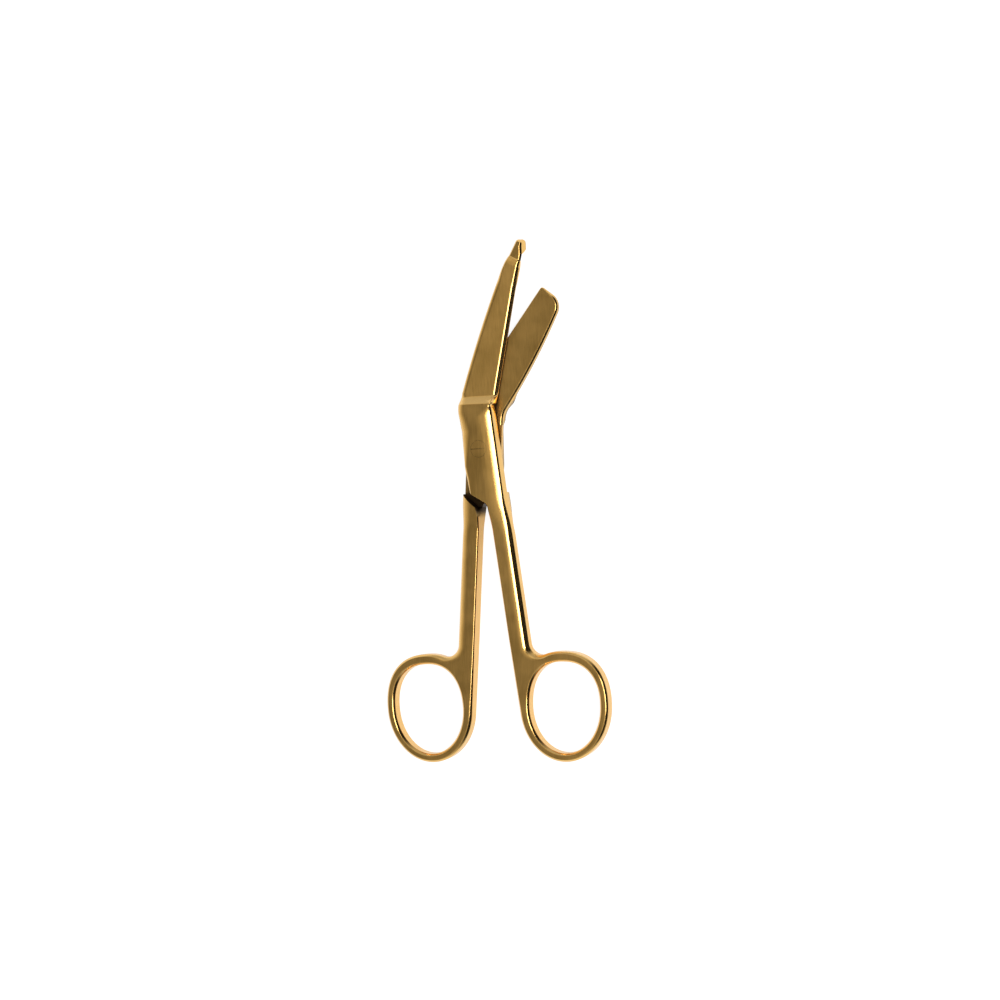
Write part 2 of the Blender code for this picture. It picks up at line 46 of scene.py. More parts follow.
# Lengths are in millimetres and angles in degrees. In a half's own frame u runs across it and v along it,
# from the pivot towards the blade, and its outer face is up.
MM = 0.001
OPENING = 10.7  # between the two halves' v directions
JOINT_HALF = 5.05
PLATE_HEIGHT = 3.6  # each face of the joint, from the plane where the halves meet
RING_HEIGHT = 2.1
LAP_FACE = 0.15  # half the gap between the halves where they cross
HANDLE_LEAN = 0.5
INNER_EDGE = -0.25
OUTER_EDGE = 4.9
BLEND_START = -13.6  # the joint's thickness runs out to the shank's from here
BLEND_END = -22.5
STEP_START = 11.8
STEP_END = 14.4
STEP_LEAN = 6.0
EDGE_THICKNESS = 1.2
BLADE_SLOPE = 4.8
SHOULDER_LEAN = 53.0
PLATE_CORNER = Vector((-4.35, -11.9))
CURVE_STEP = 3.0
MERGE = 1e-5


def lean_direction(lean):
    """Unit vector at an angle from +v towards +u."""
    return Vector((math.sin(math.radians(lean)), math.cos(math.radians(lean))))


def meet(point_a, lean_a, point_b, lean_b):
    """Where two lines cross, each given by a point and a lean."""
    a, b = lean_direction(lean_a), lean_direction(lean_b)
    offset = Vector(point_b) - Vector(point_a)
    along = (offset.x * b.y - offset.y * b.x) / (a.x * b.y - a.y * b.x)
    return Vector(point_a) + a * along


def ramp(value, start, end):
    """0 at start, 1 at end, straight between."""
    return min(max((value - start) / (end - start), 0.0), 1.0)


def blend(value, start, end):
    """0 at start, 1 at end, with level ends."""
    t = ramp(value, start, end)
    return t * t * (3 - 2 * t)


def rows_between(start, end, count):
    """Evenly spaced values, both ends included."""
    return [start + (end - start) * step / count for step in range(count + 1)]


def on_handle(u, v):
    """Point given along the leaning handle, in the half's own frame."""
    return Matrix.Rotation(math.radians(HANDLE_LEAN), 2) @ Vector((u, v))


def rounded(corners):
    """Path through corners (point, radius, edge sections), each rounded by an arc."""
    path = []
    for index, (corner, radius, sections) in enumerate(corners):
        corner = Vector(corner)
        if radius == 0 or index in (0, len(corners) - 1):
            path.append((corner, sections))
            continue
        arriving = (corner - Vector(corners[index - 1][0])).normalized()
        leaving = (Vector(corners[index + 1][0]) - corner).normalized()
        turn = arriving.angle_signed(leaving)
        cut_back = radius * math.tan(abs(turn) / 2)
        side = Vector((arriving.y, -arriving.x)) * math.copysign(1, turn)
        centre = corner - arriving * cut_back + side * radius
        count = max(2, math.ceil(abs(math.degrees(turn)) / CURVE_STEP))
        for step in range(count + 1):
            swing = Matrix.Rotation(-turn * step / count, 2)
            path.append((centre + swing @ (-side * radius), sections))
    return path


def arc(start, lean, end, pieces=10):
    """Points between two ends of an arc that leaves its start at the given lean."""
    chord = Vector(end) - Vector(start)
    turn = 2 * (math.degrees(math.atan2(chord.x, chord.y)) - lean)
    points = []
    for step in range(1, pieces):
        share = step / pieces
        length = chord.length * math.sin(math.radians(turn * share / 2)) / math.sin(math.radians(turn / 2))
        points.append(Vector(start) + lean_direction(lean + turn * share / 2) * length)
    return points


# An edge section lists how far in and how far down the edge's points are, from the wall up to the face.
ROUNDING_STEPS = 10


def rolled(reach, depth):
    """Section of a fully rounded edge, a quarter of an ellipse."""
    turns = rows_between(0, math.pi / 2, ROUNDING_STEPS)
    return [(reach * (1 - math.cos(turn)), depth * (1 - math.sin(turn))) for turn in turns]


def broken(reach, depth):
    """Section of an edge broken by a file: a short wall, a steep flat, then a soft crown."""
    shares = [
        (0, 1), (0.02, 0.95), (0.04, 0.9), (0.07, 0.85), (0.1, 0.8), (0.54, 0.18),
        (0.59, 0.13), (0.66, 0.075), (0.75, 0.035), (0.87, 0.008), (1, 0),
    ]
    return [(reach * inset, depth * drop) for inset, drop in shares]


def between(first, second, share):
    """Section part of the way from one to another."""
    return [tuple(Vector(a).lerp(Vector(b), share)) for a, b in zip(first, second)]


def both(section):
    """The same section on the outer and the inner side."""
    return section, section


SOFT_CORNER = broken(0.85, 0.77)
RING_EDGE = both(SOFT_CORNER)
REAR_SHANK = both(rolled(2.9, 1.9))
LAP_EDGE = broken(0.68, 0.62)
CUTTING_EDGE = broken(0.26, 0.24)
REAR_JOINT = rolled(3.9, 2.7)
INNER_SIDE = rolled(4.1, 2.6)
PLATE_SIDE = both(rolled(1.2, 1.2))
PLATE_EDGE = both(broken(0.45, 0.42))
THIN_BACK = broken(0.4, 0.35)

RING_MIDDLE = 71.2
RING_HALF_WIDTH = 12.625
RING_TOP = 14.65
RING_END = 14.8
RING_LEAN = 8.5
HOLE_HALF_WIDTH = 10.05
HOLE_TOP = 11.9
HOLE_END = 12.5
HOLE_INSET = 0.175
RING_FACETS = 168
ELLIPSE_POWER = 2
SQUARER_POWER = 2.3


def oval(centre, half_width, top, end, angle):
    """Point and outward normal on a leaning oval, whose upper half is squarer than an ellipse."""
    across, along = math.cos(angle), math.sin(angle)
    reach, power = (top, SQUARER_POWER) if along > 0 else (end, ELLIPSE_POWER)
    side_share = math.copysign(abs(across) ** (2 / power), across)
    end_share = math.copysign(abs(along) ** (2 / power), along)
    slope_u = math.copysign(abs(side_share) ** (power - 1), across) / half_width
    slope_v = math.copysign(abs(end_share) ** (power - 1), along) / reach
    lean = Matrix.Rotation(-math.radians(RING_LEAN), 2)
    point = Vector((half_width * side_share, reach * end_share))
    return centre + lean @ point, (lean @ Vector((slope_u, slope_v))).normalized()


ring_lean = math.radians(RING_LEAN)
ring_centre = Vector((
    INNER_EDGE + math.hypot(RING_HALF_WIDTH * math.cos(ring_lean), RING_END * math.sin(ring_lean)),
    -RING_MIDDLE,
))

WEB_RADIUS = 3.4
WEB_BRACKET = (2.5 * math.pi, 2.9 * math.pi)
HALVINGS = 40
FADE_POINTS = 12
SHANK_FOOT = -50.0
SHANK_HEAD = -24.0


def handle_outline(shank_edge):
    """From the shank's inner edge round the ring and up the outer edge to the joint."""
    size = (RING_HALF_WIDTH, RING_TOP, RING_END)
    innermost = math.pi + math.atan2(RING_END * math.sin(ring_lean), RING_HALF_WIDTH * math.cos(ring_lean))
    # The web leaves the ring where its circle just touches the shank's outer edge.
    low, high = WEB_BRACKET
    for _ in range(HALVINGS):
        middle = (low + high) / 2
        point, normal = oval(ring_centre, *size, middle)
        if (point + normal * WEB_RADIUS).x > OUTER_EDGE + WEB_RADIUS:
            low = middle
        else:
            high = middle
    angles = rows_between(innermost, low, round(RING_FACETS * (low - innermost) / (2 * math.pi)))
    path = [oval(ring_centre, *size, angle)[0] for angle in angles]
    ring_count = len(path)
    point, normal = oval(ring_centre, *size, low)
    web_centre = point + normal * WEB_RADIUS
    start = math.atan2(-normal.y, -normal.x)
    count = math.ceil(math.degrees(start + math.pi) / (2 * CURVE_STEP))
    for angle in rows_between(start, -math.pi, count)[1:]:
        path.append(web_centre + WEB_RADIUS * Vector((math.cos(angle), math.sin(angle))))
    ring = []
    for index, point in enumerate(path):
        share = blend(index, ring_count - FADE_POINTS, len(path) - 1)
        ring.append((on_handle(*point), [between(*pair, share) for pair in zip(RING_EDGE, shank_edge)]))
    return ring + [(on_handle(OUTER_EDGE, v), shank_edge) for v in (SHANK_FOOT, SHANK_HEAD)]


def finger_hole():
    """The ring's hole."""
    centre = ring_centre + Vector((HOLE_INSET, 0))
    path = []
    for step in range(RING_FACETS):
        point, _ = oval(centre, HOLE_HALF_WIDTH, HOLE_TOP, HOLE_END, -2 * math.pi * step / RING_FACETS)
        path.append((on_handle(*point), RING_EDGE))
    return path


INNER_SIDE_END = 5.0
PLATE_SIDE_RADIUS = 30.0
PLATE_CORNER_RADIUS = 0.8
CROTCH_RADIUS = 1.5
INNER_EDGE_END = -52.0


def plate_lower_side():
    """From half way down the joint's inner side to the crotch and the shank."""
    crotch = meet(PLATE_CORNER, 180 - SHOULDER_LEAN, on_handle(INNER_EDGE, 0), -HANDLE_LEAN)
    return [
        ((-JOINT_HALF, INNER_SIDE_END), 0, both(INNER_SIDE)),
        ((-JOINT_HALF, PLATE_CORNER.y / 2), PLATE_SIDE_RADIUS, PLATE_SIDE),
        (PLATE_CORNER, PLATE_CORNER_RADIUS, PLATE_EDGE),
        (crotch, CROTCH_RADIUS, PLATE_EDGE),
        (on_handle(INNER_EDGE, BLEND_END), 0, PLATE_EDGE),
        (on_handle(INNER_EDGE, INNER_EDGE_END), 0, PLATE_EDGE),
    ]


# The rear half's inner face is drawn at its own height from here up, and cut by the lap below it.
LAP_ROW = 6.5
LAP_JUMP = LAP_ROW - 0.05
THIN_SECTION = LAP_ROW - 0.1
FULL_SECTION = LAP_ROW - 0.5

SHORT_SIDE_END = 10.9
SHORT_EDGE_LEAN = -34.05
SHORT_EDGE_LENGTH = 36.0
NOSE_LEAN = -125.0
NOSE_LENGTH = 6.9
SHORT_BACK_START = 9.5
SHORT_BACK_LEAN = -33.0
BEVEL_RUN = 3.0
EDGE_FOOT_RADIUS = 2.5
SHORT_TIP_RADIUS = 0.7
NOSE_RADIUS = 4.1
BACK_FOOT_RADIUS = 6.0
short_edge_base = Vector((JOINT_HALF, 13.9))


def short_blade():
    """The plain blade, from the joint's outer side round to the crotch."""
    edge = lean_direction(SHORT_EDGE_LEAN)
    tip = short_edge_base + edge * SHORT_EDGE_LENGTH
    nose = tip + lean_direction(NOSE_LEAN) * NOSE_LENGTH
    back_base = Vector((-JOINT_HALF, SHORT_BACK_START))
    right = [
        ((JOINT_HALF, BLEND_START), 0, both(REAR_JOINT)),
        ((JOINT_HALF, FULL_SECTION), 0, both(REAR_JOINT)),
        ((JOINT_HALF, THIN_SECTION), 0, (REAR_JOINT, LAP_EDGE)),
        ((JOINT_HALF, SHORT_SIDE_END), 0, (REAR_JOINT, LAP_EDGE)),
        (short_edge_base, EDGE_FOOT_RADIUS, (rolled(1.6, 0.75), CUTTING_EDGE)),
        (short_edge_base + edge * BEVEL_RUN, 0, (broken(0.65, 0.85), CUTTING_EDGE)),
        (tip, SHORT_TIP_RADIUS, (broken(0.6, 0.6), CUTTING_EDGE)),
        (nose, NOSE_RADIUS, (THIN_BACK, LAP_EDGE)),
    ]
    curve = [(point, 0, (THIN_BACK, LAP_EDGE)) for point in reversed(arc(back_base, SHORT_BACK_LEAN, nose))]
    base = [
        (back_base, BACK_FOOT_RADIUS, (rolled(1.6, 1.4), LAP_EDGE)),
        ((-JOINT_HALF, THIN_SECTION), 0, (INNER_SIDE, LAP_EDGE)),
        ((-JOINT_HALF, FULL_SECTION), 0, both(INNER_SIDE)),
    ]
    return rounded(right + curve + base + plate_lower_side())


def inward_normals(points, sharpest=0.5):
    """Unit normal of a closed path at each point, scaled so that offset sides stay parallel."""
    normals = []
    for index, point in enumerate(points):
        before = (point - points[index - 1]).normalized()
        after = (points[(index + 1) % len(points)] - point).normalized()
        mean = (before + after).normalized()
        normals.append(Vector((-mean.y, mean.x)) / max(mean.dot(before), sharpest))
    return normals


def forged_slab(outlines):
    """Draw each outline, extrude it step by step down its edge sections, and fill the two faces."""
    mesh = bmesh.new()
    place_mark = mesh.verts.layers.int.new("place on the outline")
    stages = [(0, step) for step in range(ROUNDING_STEPS, -1, -1)]
    stages += [(1, step) for step in range(ROUNDING_STEPS + 1)]
    face_rims = ([], [])
    for outline in outlines:
        points = [point for point, _ in outline]
        normals = inward_normals(points)
        loop = [mesh.verts.new((point.x, point.y, 0)) for point in points]
        for index, vertex in enumerate(loop):
            vertex[place_mark] = index
        rim = [mesh.edges.new((a, b)) for a, b in zip(loop, loop[1:] + loop[:1])]
        face_rims[0].extend(rim)
        for stage, (side, step) in enumerate(stages):
            if stage > 0:
                grown = bmesh.ops.extrude_edge_only(mesh, edges=rim)["geom"]
                rim = [part for part in grown if isinstance(part, bmesh.types.BMEdge)]
                loop = [part for part in grown if isinstance(part, bmesh.types.BMVert)]
            for vertex in loop:
                index = vertex[place_mark]
                inset, drop = outline[index][1][side][step]
                place = points[index] + normals[index] * inset
                height = PLATE_HEIGHT - drop
                vertex.co = (place.x, place.y, -height if side else height)
        face_rims[1].extend(rim)
    for rims in face_rims:
        bmesh.ops.triangle_fill(mesh, use_beauty=True, edges=rims)
    bmesh.ops.remove_doubles(mesh, verts=mesh.verts, dist=MERGE)
    bmesh.ops.recalc_face_normals(mesh, faces=mesh.faces)
    return mesh


def handle_height(v):
    """Half the thickness of the handle, from the joint down to the ring."""
    return RING_HEIGHT + (PLATE_HEIGHT - RING_HEIGHT) * blend(v, BLEND_END, BLEND_START)


def step_share(along, brow=0.15, cove=0.75):
    """How far the face has come down from the joint to the blade: a soft brow, a flat, a longer cove."""
    whole = cove - brow / 2 + (1 - cove) / 2
    t = ramp(along, STEP_START, STEP_END)
    if t < brow:
        return t * t / (2 * brow) / whole
    if t < cove:
        return (t - brow / 2) / whole
    return 1 - (1 - t) ** 2 / (2 * (1 - cove)) / whole


def face_height(u, v, edge_start, edge_lean):
    """Height of a half's outer face, which on the blade rises from the cutting edge to the back."""
    along = Vector((u, v)).dot(lean_direction(STEP_LEAN))
    if along < STEP_START:
        return handle_height(v)
    edge = lean_direction(edge_lean)
    from_edge = edge.x * (v - edge_start.y) - edge.y * (u - edge_start.x)
    blade = LAP_FACE + EDGE_THICKNESS + from_edge * math.tan(math.radians(BLADE_SLOPE))
    return PLATE_HEIGHT + (blade - PLATE_HEIGHT) * step_share(along)


def plain_height(u, v):
    """Height of the rear half's outer face over the plane where the halves meet."""
    return face_height(u, v, short_edge_base, SHORT_EDGE_LEAN)


LAP_SPARE = 0.005  # the blade's drawn face stays this far short of the lap cutter
ROW_TOLERANCE = 0.01


def plain_depth(v):
    """Depth of the rear half's inner side: its blade stops at the lap face."""
    return -LAP_FACE - LAP_SPARE if v > LAP_ROW - ROW_TOLERANCE else handle_height(v)


def shape_heights(mesh, rows, outer, inner, tolerance=1e-4):
    """Cut the mesh across where its heights bend, then move both faces to their heights.

    A row is the v that it crosses at, or a point and the direction that it is square to.
    """
    for row in rows:
        point, direction = row if isinstance(row, tuple) else ((0, row), (0, 1))
        bmesh.ops.bisect_plane(
            mesh,
            geom=mesh.verts[:] + mesh.edges[:] + mesh.faces[:],
            dist=tolerance,
            plane_co=(*point, 0),
            plane_no=(*direction, 0),
        )
    for vertex in mesh.verts:
        drop = PLATE_HEIGHT - abs(vertex.co.z)
        if vertex.co.z > 0:
            vertex.co.z = outer(vertex.co.x, vertex.co.y) - drop
        else:
            vertex.co.z = drop - inner(vertex.co.y)


class Socket:
    """One output in a material's node tree, on which arithmetic adds Math nodes."""

    def __init__(self, tree, output=None):
        self.tree = tree
        self.output = output

    def node(self, kind, settings=None, inputs=None, output=0):
        """Add a node: its type, its settings, then the values or links of its sockets."""
        made = self.tree.nodes.new(kind)
        for name, value in (settings or {}).items():
            setattr(made, name, value)
        for name, value in (inputs or {}).items():
            if isinstance(value, Socket):
                self.tree.links.new(value.output, made.inputs[name])
            else:
                made.inputs[name].default_value = value
        return Socket(self.tree, made.outputs[output])

    def part(self, letter):
        """X, Y or Z of a vector."""
        return self.node("ShaderNodeSeparateXYZ", {}, {"Vector": self}, letter)

    def math(self, operation, first, second):
        """A Math node on two values or links."""
        return self.node("ShaderNodeMath", {"operation": operation}, {0: first, 1: second})

    def fade(self, start, end, low=0.0, high=1.0):
        """From low at start to high at end, with level ends."""
        return self.node(
            "ShaderNodeMapRange",
            {"interpolation_type": "SMOOTHSTEP"},
            {"Value": self, "From Min": start, "From Max": end, "To Min": low, "To Max": high},
        )

    def __add__(self, other):
        return self.math("ADD", self, other)

    __radd__ = __add__

    def __mul__(self, other):
        return self.math("MULTIPLY", self, other)

    def __sub__(self, other):
        return self.math("SUBTRACT", self, other)

    def __rsub__(self, other):
        return self.math("SUBTRACT", other, self)


def new_finish(name):
    """An empty material, its start socket and its shader."""
    material = bpy.data.materials.new(name)
    material.use_nodes = True
    tree = material.node_tree
    return material, Socket(tree), tree.nodes["Principled BSDF"]


def noise(place, scale, detail, stretch=(1, 1, 1), turn=0.0):
    """Noise from 0 to 1 over a stretched and turned pattern space."""
    mapped = place.node(
        "ShaderNodeMapping",
        {"vector_type": "POINT"},
        {"Vector": place, "Rotation": (0, 0, math.radians(turn)), "Scale": stretch},
    )
    return place.node(
        "ShaderNodeTexNoise", {}, {"Vector": mapped, "Scale": scale, "Detail": detail, "Roughness": 0.55}
    )


def colour_mix(share, first, second):
    """Colour between two, each written as red, green and blue or linked."""
    first, second = [colour if isinstance(colour, Socket) else (*colour, 1) for colour in (first, second)]
    return share.node("ShaderNodeMix", {"data_type": "RGBA"}, {0: share, 6: first, 7: second}, 2)


SATIN_GOLD = (0.90, 0.53, 0.15)
SATIN_DARK = (0.64, 0.365, 0.09)
POLISHED_GOLD = (0.93, 0.60, 0.22)
POLISHED_DARK = (0.87, 0.53, 0.17)
# Near-black colour of the painted shade in crevices and between the halves.
CREVICE_SHADE_COLOUR = (0.045, 0.027, 0.014)
POLISHED_ROUGHNESS = 0.11
SATIN_ROUGHNESS = 0.21
CREVICE_SHADE_ROUGHNESS = 0.2
SHADE_REACH = 5 * MM
NO_SHADE_BELOW = -0.019  # from here down the shanks stand clear of each other and get no painted shade
FULL_SHADE_ABOVE = -0.0165

# Pattern sizes count repeats to the metre, across and along the half.
BRUSH_STREAKS = (7000, 220, 7000)
HOLLOWS = (1100, 110, 1100)
CLOUDS = 160.0
SMUDGES = 95.0
WAVES = 420.0


def gold_plate(name, turn):
    """Gold plate on steel: brushed satin on flat faces, polished edges, and painted shade that darkens the
    crevices where other surfaces stand close.
    """
    material, start, shader = new_finish(name)
    place = start.node("ShaderNodeTexCoord", output="Object")
    upright = start.node("ShaderNodeTexCoord", output="Normal").part("Z")
    satin = start.math("ABSOLUTE", upright, 0.0).fade(0.76, 0.96)
    streaks = noise(place, 1.0, 3.0, BRUSH_STREAKS, turn)
    clouds = noise(place, CLOUDS, 3.0)
    smudges = noise(place, SMUDGES, 2.0)
    mottle = (clouds * 0.35 + streaks * 0.3 + smudges * 0.35).fade(0.32, 0.68)
    satin_tint = colour_mix(mottle, SATIN_DARK, SATIN_GOLD)
    polished_tint = colour_mix(mottle, POLISHED_DARK, POLISHED_GOLD)
    # Painted shade: where ambient occlusion finds other surfaces within a few millimetres (crevices, between
    # the halves, above the shanks), the colour darkens towards near black and the finish dulls.
    clearance = start.node("ShaderNodeAmbientOcclusion", {"samples": 8}, {"Distance": SHADE_REACH}, "AO")
    crevice_shade = clearance.fade(0.5, 0.88, low=0.97, high=0.0) * place.part("Y").fade(NO_SHADE_BELOW, FULL_SHADE_ABOVE)
    tint = colour_mix(crevice_shade, colour_mix(satin, polished_tint, satin_tint), CREVICE_SHADE_COLOUR)
    start.tree.links.new(tint.output, shader.inputs["Base Color"])
    shader.inputs["Metallic"].default_value = 1.0
    wear = (streaks + clouds - 1) * (0.03 + satin * 0.08)
    dull = POLISHED_ROUGHNESS + satin * SATIN_ROUGHNESS + wear + crevice_shade * CREVICE_SHADE_ROUGHNESS
    start.tree.links.new(dull.output, shader.inputs["Roughness"])
    # Heights in millimetres: brush marks, forging waves, and hollows that the wheel leaves along satin faces.
    waves = noise(place, WAVES, 1.0)
    hollows = noise(place, 1.0, 2.0, HOLLOWS, turn)
    relief = streaks * (satin * 0.0010 + 0.0002) + waves * 0.008 + hollows * (satin * 0.022)
    bump = start.node("ShaderNodeBump", {}, {"Strength": 1.0, "Distance": MM, "Height": relief})
    start.tree.links.new(bump.output, shader.inputs["Normal"])
    return material


def piece(name, mesh, place, finish):
    """Object at the origin from a bmesh drawn in millimetres, moved to its place."""
    bmesh.ops.transform(mesh, matrix=place @ Matrix.Scale(MM, 4), verts=mesh.verts)
    data = bpy.data.meshes.new(name)
    mesh.to_mesh(data)
    mesh.free()
    data.materials.append(finish)
    made = bpy.data.objects.new(name, data)
    bpy.context.scene.collection.objects.link(made)
    return made


def machine(target, tool, operation="DIFFERENCE"):
    """Cut the tool's shape from a piece for good, or keep only what both share, and delete the tool."""
    cut = target.modifiers.new("cut", "BOOLEAN")
    cut.operation = operation
    cut.solver = "MANIFOLD"
    cut.object = tool
    bpy.context.view_layer.update()
    shown = target.evaluated_get(bpy.context.evaluated_depsgraph_get())
    finished = bpy.data.meshes.new_from_object(shown)
    target.modifiers.remove(cut)
    old = target.data
    target.data = finished
    bpy.data.meshes.remove(old)
    bpy.data.objects.remove(tool)


SHOULDER_GAP = 0.9


def shoulder_line(u):
    """v of the shoulder that the other half's plate closes on."""
    slope = 1 / math.tan(math.radians(SHOULDER_LEAN))
    gap = SHOULDER_GAP / math.sin(math.radians(SHOULDER_LEAN))
    return PLATE_CORNER.y + (u + PLATE_CORNER.x) * slope - gap


FAR = 30  # past the half, on any side of the joint
TIP_CLEARANCE = 0.9
PROBE_UNDER = 2.0
PROBE_RAMP = 2.4
LAP_END = max(point.length for point, _ in short_blade()) + TIP_CLEARANCE
ARCH_FACETS = 120
TURN_INSET = 1.25
TURN_DRAFT = 0.35
RUNOUT_DROP = 0.3
RUNOUT_LENGTH = 3.4


def lap_section(height):
    """Section of the lap cutter: above the shoulder, and short of the probe's underside."""
    depth = ramp(height, LAP_FACE, -PLATE_HEIGHT)
    below = max(0.0, LAP_FACE - height)
    radius = LAP_END + PROBE_RAMP * below / (LAP_FACE + PROBE_UNDER)
    angles = rows_between(0, math.pi, ARCH_FACETS)
    arch = [Vector((radius * math.cos(angle), radius * math.sin(angle))) for angle in angles]
    turn = INNER_EDGE + TURN_INSET - TURN_DRAFT * depth
    run_out = shoulder_line(turn) - RUNOUT_DROP - RUNOUT_LENGTH * depth
    return arch + [
        Vector((-FAR, run_out)),
        Vector((INNER_EDGE, run_out)),
        Vector((turn, shoulder_line(turn))),
        Vector((FAR, shoulder_line(FAR))),
    ]


def lap_cutter(place, finish):
    """Loft between the cutter's sections at the lap face, at the outer face and past it."""
    mesh = bmesh.new()
    loops = []
    for height in (LAP_FACE, -PLATE_HEIGHT, -FAR):
        corners = [mesh.verts.new((point.x, point.y, height)) for point in lap_section(height)]
        loops.append([mesh.edges.new((a, b)) for a, b in zip(corners, corners[1:] + corners[:1])])
    for upper, lower in zip(loops, loops[1:]):
        bmesh.ops.bridge_loops(mesh, edges=upper + lower)
    for loop in (loops[0], loops[-1]):
        bmesh.ops.edgeloop_fill(mesh, edges=loop)
    bmesh.ops.recalc_face_normals(mesh, faces=mesh.faces)
    return piece("lap", mesh, place, finish)


def turned(name, profile, place, finish, facets=96):
    """Solid of revolution about the pivot's axis, from a profile of (radius, height)."""
    mesh = bmesh.new()
    points = [mesh.verts.new((radius, 0, height)) for radius, height in profile]
    lines = [mesh.edges.new((a, b)) for a, b in zip(points, points[1:])]
    bmesh.ops.spin(
        mesh,
        geom=points + lines,
        axis=(0, 0, 1),
        cent=(0, 0, 0),
        steps=facets,
        angle=2 * math.pi,
        use_merge=True,
    )
    bmesh.ops.remove_doubles(mesh, verts=mesh.verts, dist=MERGE)
    bmesh.ops.recalc_face_normals(mesh, faces=mesh.faces)
    return piece(name, mesh, place, finish)


def smooth_shading(made, sharp_angle=32, flat_face_weight=80):
    """Smooth shading that keeps crisp edges and flat ground faces."""
    made.data.shade_smooth()
    made.data.set_sharp_from_angle(angle=math.radians(sharp_angle))
    weighted = made.modifiers.new("even shading", "WEIGHTED_NORMAL")
    weighted.keep_sharp = True
    weighted.weight = flat_face_weight


PIVOT = Matrix.Translation((0, 0, PLATE_HEIGHT * MM))
BORE = 1.8
handle_rows = rows_between(BLEND_END, BLEND_START, 24)
step_direction = lean_direction(STEP_LEAN)
step_rows = [(step_direction * along, step_direction) for along in rows_between(STEP_START, STEP_END, 20)]

rear_place = PIVOT @ Matrix.Rotation(-math.radians(OPENING / 2), 4, "Z") @ Matrix.Rotation(math.pi, 4, "Y")
rear_gold = gold_plate("plain half gold", OPENING / 2)
rear_mesh = forged_slab([handle_outline(REAR_SHANK) + short_blade(), finger_hole()])
shape_heights(rear_mesh, handle_rows + [LAP_JUMP, LAP_ROW] + step_rows, plain_height, plain_depth)
plain_half = piece("plain_half", rear_mesh, rear_place, rear_gold)
machine(plain_half, lap_cutter(rear_place, rear_gold))
bore = [(0, FAR), (BORE, FAR), (BORE, -FAR), (0, -FAR)]
machine(plain_half, turned("bore", bore, rear_place, rear_gold))
smooth_shading(plain_half)
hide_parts("plain_blade_half")
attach(plain_half, "rear_half")


# Probe half, the front one: right finger ring, shank, joint plate and the long blade with its blunt probe.
# It is forged and finished like the rear one, and its face rolls down to the probe over a slanting lip.
FRONT_JOINT = [
    (0, 3.1), (0.07, 2.4), (0.22, 1.8), (0.36, 1.55), (0.54, 1.30), (0.84, 0.99),
    (1.38, 0.60), (2.0, 0.32), (2.4, 0.22), (3.5, 0.06), (4.7, 0),
]
FRONT_SHANK = [
    (0, 1.75), (0.02, 1.68), (0.05, 1.6), (0.12, 1.5), (0.75, 0.68), (0.95, 0.47),
    (1.2, 0.29), (1.44, 0.165), (1.7, 0.08), (2.1, 0.025), (2.6, 0),
]
PROBE_SIDE = [
    (0, 1.95), (0.06, 1.75), (0.2, 1.45), (0.42, 1.07), (0.66, 0.68), (0.70, 0.62),
    (1.10, 0.11), (1.16, 0.06), (1.25, 0.03), (1.35, 0.01), (1.45, 0),
]
NOSE_NARROWER = 0.72
NOSE_LOWER = 0.85
PROBE_NOSE = [(inset * NOSE_NARROWER, drop * NOSE_LOWER) for inset, drop in PROBE_SIDE]
PROBE_BELOW = rolled(0.8, 0.75)
PROBE_EDGE = both(broken(0.75, 0.75))
HEEL_EDGE = both(broken(0.8, 0.9))
LONG_BEVEL = both([
    (0, 1.1), (0.01, 1.07), (0.02, 1.05), (0.03, 1.03), (0.05, 1.0), (0.62, 0.25),
    (0.70, 0.17), (0.79, 0.105), (0.89, 0.055), (1.0, 0.02), (1.15, 0),
])
LONG_BACK = both(rolled(1.4, 1.1))

FRONT_SIDE_END = 8.5
HEEL_FOOT = 10.85
HEEL_OUT = 0.65
HEEL_TOP = 11.5
HEEL_RADIUS = 0.5
LONG_EDGE_LEAN = 19.0
LONG_EDGE_LENGTH = 31.3
PROBE_FOOT_RADIUS = 10.0
BULGE_LEAN = 24.5
BULGE_LENGTH = 8.7
BULGE_RADIUS = 6.0
BULGE_END_SHARE = 0.55
PROBE_TIP_LEAN = 6.0
PROBE_TIP_LENGTH = 4.6
PROBE_TIP_WIDTH = 2.1
PROBE_TIP_RADIUS = 1.0
PROBE_BACK_LEAN = 36.0
PROBE_BACK_LENGTH = 8.0
PROBE_BACK_RADIUS = 20.0
SPINE_START = 12.0
SPINE_LEAN = 24.2
SPINE_RADIUS = 8.0

heel = Vector((JOINT_HALF + HEEL_OUT, HEEL_TOP))
probe_foot = heel + lean_direction(LONG_EDGE_LEAN) * LONG_EDGE_LENGTH
probe_bulge = probe_foot + lean_direction(BULGE_LEAN) * BULGE_LENGTH
probe_tip = probe_bulge + lean_direction(PROBE_TIP_LEAN) * PROBE_TIP_LENGTH
probe_tip_left = probe_tip - Vector((PROBE_TIP_WIDTH, 0))
probe_back = probe_tip_left - lean_direction(PROBE_BACK_LEAN) * PROBE_BACK_LENGTH


